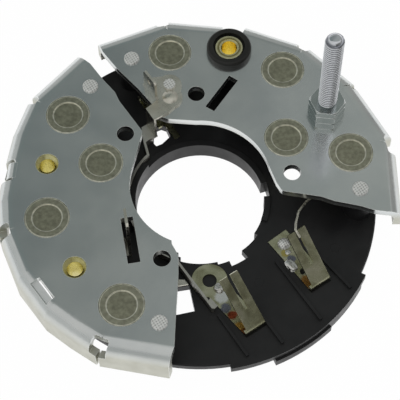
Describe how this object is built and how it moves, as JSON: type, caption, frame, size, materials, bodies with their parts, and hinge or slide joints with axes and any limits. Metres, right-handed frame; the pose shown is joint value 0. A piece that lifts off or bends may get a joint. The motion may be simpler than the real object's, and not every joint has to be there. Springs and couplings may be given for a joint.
{
  "type": "alternator rectifier",
  "caption": "Ring-shaped alternator rectifier: two bent sheet heat sinks with press-fit diodes, terminals and an output stud on a moulded base.",
  "frame": {"origin": "on the central bore's axis, at the underside of the moulded ring", "axes": "+Z along the bore towards the output stud's tip; +X towards the positive heat sink's right end as seen in the picture; +Y away from the viewer"},
  "size_m": [0.1244, 0.1243, 0.0586],
  "materials": {
    "ring": "moulded, satin black",
    "heat_sink": "zinc plated, satin",
    "bus_strip": "plated strip",
    "terminal": "tinned",
    "phase_terminal": "yellow passivated, stained",
    "rivet": "staked, cross-hatched heads",
    "insulator": "moulded black",
    "brass_bush": "bright",
    "stud": "bright zinc",
    "nut": "bright zinc",
    "diode_cup": "dull plated cup",
    "diode_chip": "silicon",
    "diode_seal": "potting compound",
    "lead": "tinned wire"
  },
  "bodies": {
    "root": {"base_ring": "ring", "negative_heat_sink": "heat_sink", "positive_heat_sink": "heat_sink", "bus_strip_far": "bus_strip", "bus_strip_near": "bus_strip", "neutral_terminal": "terminal", "blade_terminal": "terminal", "spade_terminal": "terminal", "phase_terminal_1": "phase_terminal", "phase_terminal_2": "phase_terminal", "phase_terminal_3": "phase_terminal", "spade_rivet": "rivet", "deck_rivets": "rivet", "heat_sink_rivets": "rivet", "insulating_bush": "insulator", "bush_eyelet": "brass_bush", "ground_bush_1": "brass_bush", "ground_bush_2": "brass_bush", "output_stud": "stud", "stud_locknut": "nut", "stud_nut": "nut", "negative_diode_1": "diode_cup", "negative_chip_1": "diode_chip", "negative_seal_1": "diode_seal", "negative_lead_1": "lead", "negative_diode_2": "diode_cup", "negative_chip_2": "diode_chip", "negative_seal_2": "diode_seal", "negative_lead_2": "lead", "negative_diode_3": "diode_cup", "negative_chip_3": "diode_chip", "negative_seal_3": "diode_seal", "negative_lead_3": "lead", "negative_diode_4": "diode_cup", "negative_chip_4": "diode_chip", "negative_seal_4": "diode_seal", "negative_lead_4": "lead", "positive_diode_1": "diode_cup", "positive_chip_1": "diode_chip", "positive_seal_1": "diode_seal", "positive_lead_1": "lead", "positive_diode_2": "diode_cup", "positive_chip_2": "diode_chip", "positive_seal_2": "diode_seal", "positive_lead_2": "lead", "positive_diode_3": "diode_cup", "positive_chip_3": "diode_chip", "positive_seal_3": "diode_seal", "positive_lead_3": "lead", "positive_diode_4": "diode_cup", "positive_chip_4": "diode_chip", "positive_seal_4": "diode_seal", "positive_lead_4": "lead"}
  },
  "joints": []
}
